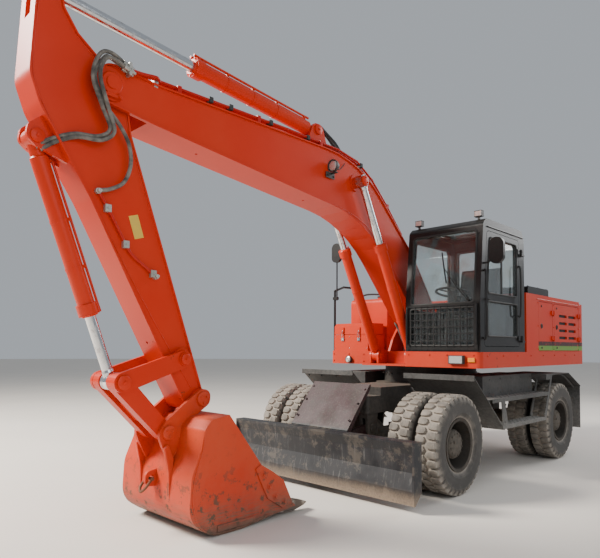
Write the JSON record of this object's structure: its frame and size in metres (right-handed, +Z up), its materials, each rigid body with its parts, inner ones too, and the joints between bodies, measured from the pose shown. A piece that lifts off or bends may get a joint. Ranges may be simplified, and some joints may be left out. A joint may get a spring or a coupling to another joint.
{
  "type": "wheeled excavator",
  "caption": "Orange wheeled excavator with a black two-axle carrier on twin tyres, a front blade, a cab on the left, and a one-piece boom, arm and backhoe bucket worked by cylinders",
  "frame": {"origin": "centre of the bounding box on the ground", "axes": "+X to the blade, +Y to the cab's side, +Z up"},
  "size_m": [8.1529, 2.787, 4.185],
  "materials": {
    "orange_paint": "satin, faded and dusty",
    "black_paint": "satin, chipped",
    "chrome_rod": "polished, slightly oily",
    "rim_paint": "matt, dusty",
    "tyre_rubber": "matt, dusty",
    "worn_steel": "worn to bare metal along the edge",
    "bucket_steel": "scuffed and scratched",
    "engine_paint": "matt",
    "window_glass": "tinted, dusty",
    "trim_plastic": "matt",
    "lamp_housing": "matt with clear lenses",
    "red_pipe": "gloss",
    "hose_rubber": "matt"
  },
  "bodies": {
    "chassis": {"chassis_frame": "black_paint", "front_axle": "black_paint", "rear_axle": "black_paint", "deck_left": "black_paint", "deck_right": "black_paint"},
    "knuckle_left": {"knuckle_left": "black_paint"},
    "knuckle_right": {"knuckle_right": "black_paint"},
    "steering_rod": {"steering_rod": "chrome_rod"},
    "wheel_front_left": {"rims_front_left": "rim_paint", "tyres_front_left": "tyre_rubber"},
    "wheel_front_right": {"rims_front_right": "rim_paint", "tyres_front_right": "tyre_rubber"},
    "wheel_rear_left": {"rims_rear_left": "rim_paint", "tyres_rear_left": "tyre_rubber"},
    "wheel_rear_right": {"rims_rear_right": "rim_paint", "tyres_rear_right": "tyre_rubber"},
    "blade": {"blade": "worn_steel"},
    "blade_cylinders": {"blade_cylinders": "orange_paint"},
    "blade_rods": {"blade_rods": "chrome_rod"},
    "house": {"platform": "orange_paint", "counterweight": "orange_paint", "engine": "engine_paint", "engine_house": "orange_paint", "tanks": "orange_paint", "cab": "black_paint", "cab_glass": "window_glass", "cab_interior": "trim_plastic", "front_guard": "black_paint", "air_box": "black_paint", "rails_and_mirrors": "black_paint", "lamps": "lamp_housing", "foot_hoses": "hose_rubber"},
    "cab_door": {"cab_door": "black_paint", "door_glass": "window_glass"},
    "hood": {"hood": "orange_paint"},
    "cooler_door": {"cooler_door": "orange_paint"},
    "filter_door": {"filter_door": "orange_paint"},
    "toolbox_lid": {"toolbox_lid": "orange_paint"},
    "boom": {"boom": "orange_paint", "boom_pipes": "red_pipe", "arm_hoses": "hose_rubber"},
    "boom_cylinders": {"boom_cylinders": "orange_paint"},
    "boom_rods": {"boom_rods": "chrome_rod"},
    "arm": {"arm": "orange_paint"},
    "arm_cylinder": {"arm_cylinder": "orange_paint"},
    "arm_rod": {"arm_rod": "chrome_rod"},
    "bucket": {"bucket": "bucket_steel"},
    "idlers": {"idlers": "orange_paint"},
    "bucket_link": {"bucket_link": "orange_paint"},
    "bucket_cylinder": {"bucket_cylinder": "orange_paint"},
    "bucket_rod": {"bucket_rod": "chrome_rod"}
  },
  "joints": [
    {"name": "steer_left", "type": "hinge", "parent": "chassis", "child": "knuckle_left", "pos_m": [0.135, 0.465, 0.515], "axis": [0, 0, 1], "range_deg": [-25, 25]},
    {"name": "steer_right", "type": "hinge", "parent": "chassis", "child": "knuckle_right", "pos_m": [0.135, -0.715, 0.515], "axis": [0, 0, 1], "range_deg": [-25, 25]},
    {"name": "steering_rod_slide", "type": "slide", "parent": "chassis", "child": "steering_rod", "axis": [0, 1, 0], "range_m": [-0.085, 0.085]},
    {"name": "wheel_front_left_spin", "type": "hinge", "parent": "knuckle_left", "child": "wheel_front_left", "pos_m": [0.135, 0.818, 0.515], "axis": [0, 1, 0], "continuous": true},
    {"name": "wheel_front_right_spin", "type": "hinge", "parent": "knuckle_right", "child": "wheel_front_right", "pos_m": [0.135, -1.068, 0.515], "axis": [0, 1, 0], "continuous": true},
    {"name": "wheel_rear_left_spin", "type": "hinge", "parent": "chassis", "child": "wheel_rear_left", "pos_m": [-2.725, 0.818, 0.515], "axis": [0, 1, 0], "continuous": true},
    {"name": "wheel_rear_right_spin", "type": "hinge", "parent": "chassis", "child": "wheel_rear_right", "pos_m": [-2.725, -1.068, 0.515], "axis": [0, 1, 0], "continuous": true},
    {"name": "blade_lift", "type": "hinge", "parent": "chassis", "child": "blade", "pos_m": [0.395, -0.125, 0.62], "axis": [0, -1, 0], "range_deg": [-14, 30]},
    {"name": "blade_cylinders_tilt", "type": "hinge", "parent": "chassis", "child": "blade_cylinders", "pos_m": [0.53, -0.125, 0.905], "axis": [0, -1, 0], "range_deg": [-12, 25]},
    {"name": "blade_rods_slide", "type": "slide", "parent": "blade_cylinders", "child": "blade_rods", "axis": [0.6278, 0, -0.7784], "range_m": [-0.16, 0.08]},
    {"name": "swing", "type": "hinge", "parent": "chassis", "child": "house", "pos_m": [-1.345, -0.125, 1.285], "axis": [0, 0, 1], "continuous": true},
    {"name": "cab_door_hinge", "type": "hinge", "parent": "house", "child": "cab_door", "pos_m": [-1.335, 1.135, 1.6], "axis": [0, 0, 1], "range_deg": [0, 160]},
    {"name": "hood_hinge", "type": "hinge", "parent": "house", "child": "hood", "pos_m": [-3.431, -0.025, 2.224], "axis": [0, -1, 0], "range_deg": [0, 60]},
    {"name": "cooler_door_hinge", "type": "hinge", "parent": "house", "child": "cooler_door", "pos_m": [-3.435, 1.137, 1.62], "axis": [0, 0, 1], "range_deg": [0, 90]},
    {"name": "filter_door_hinge", "type": "hinge", "parent": "house", "child": "filter_door", "pos_m": [-2.395, 1.137, 1.62], "axis": [0, 0, 1], "range_deg": [0, 90]},
    {"name": "toolbox_lid_hinge", "type": "hinge", "parent": "house", "child": "toolbox_lid", "pos_m": [-1.123, -1.025, 1.83], "axis": [0, -1, 0], "range_deg": [0, 85]},
    {"name": "boom_lift", "type": "hinge", "parent": "house", "child": "boom", "pos_m": [-1.195, -0.175, 1.82], "axis": [0, -1, 0], "range_deg": [-46, 50], "deforming": ["foot_hoses"]},
    {"name": "boom_cylinders_tilt", "type": "hinge", "parent": "house", "child": "boom_cylinders", "pos_m": [-0.555, -0.175, 1.405], "axis": [0, -1, 0], "range_deg": [-45, 49]},
    {"name": "boom_rods_slide", "type": "slide", "parent": "boom_cylinders", "child": "boom_rods", "axis": [0.4633, 0, 0.8862], "range_m": [-0.56, 0.61]},
    {"name": "arm_swing", "type": "hinge", "parent": "boom", "child": "arm", "pos_m": [3.475, -0.175, 3.49], "axis": [0, 1, 0], "range_deg": [-97, 9], "deforming": ["arm_hoses"]},
    {"name": "arm_cylinder_tilt", "type": "hinge", "parent": "boom", "child": "arm_cylinder", "pos_m": [1.005, -0.175, 3.868], "axis": [0, 1, 0], "range_deg": [-2, 2]},
    {"name": "arm_rod_slide", "type": "slide", "parent": "arm_cylinder", "child": "arm_rod", "axis": [0.9966, 0, 0.0826], "range_m": [-1.16, 0.11]},
    {"name": "bucket_curl", "type": "hinge", "parent": "arm", "child": "bucket", "pos_m": [2.595, -0.175, 1.06], "axis": [0, 1, 0], "range_deg": [-30, 102]},
    {"name": "idlers_swing", "type": "hinge", "parent": "arm", "child": "idlers", "pos_m": [2.785, -0.175, 1.4], "axis": [0, 1, 0], "range_deg": [-40, 80]},
    {"name": "bucket_link_swing", "type": "hinge", "parent": "idlers", "child": "bucket_link", "pos_m": [3.335, -0.175, 1.225], "axis": [0, 1, 0], "range_deg": [-45, 22]},
    {"name": "bucket_cylinder_tilt", "type": "hinge", "parent": "arm", "child": "bucket_cylinder", "pos_m": [3.975, -0.175, 2.98], "axis": [0, 1, 0], "range_deg": [-4, 9]},
    {"name": "bucket_rod_slide", "type": "slide", "parent": "bucket_cylinder", "child": "bucket_rod", "axis": [-0.3426, 0, -0.9395], "range_m": [-0.33, 0.68]}
  ],
  "couplings": [
    {"joint": "steer_right", "follows": "steer_left", "ratio": 1},
    {"joint": "steering_rod_slide", "follows": "steer_left", "m_per_rad": -0.19},
    {"joint": "blade_cylinders_tilt", "follows": "blade_lift", "ratio": 0.8134},
    {"joint": "blade_rods_slide", "follows": "blade_lift", "m_per_rad": -0.2958},
    {"joint": "boom_cylinders_tilt", "follows": "boom_lift", "ratio": 0.963},
    {"joint": "boom_rods_slide", "follows": "boom_lift", "m_per_rad": 0.686},
    {"joint": "arm_cylinder_tilt", "follows": "arm_swing", "ratio": 0.006},
    {"joint": "arm_rod_slide", "follows": "arm_swing", "m_per_rad": 0.68},
    {"joint": "idlers_swing", "follows": "bucket_curl", "ratio": 0.6934},
    {"joint": "bucket_link_swing", "follows": "bucket_curl", "ratio": -0.3369},
    {"joint": "bucket_cylinder_tilt", "follows": "bucket_curl", "ratio": 0.0614},
    {"joint": "bucket_rod_slide", "follows": "bucket_curl", "m_per_rad": 0.3478}
  ]
}
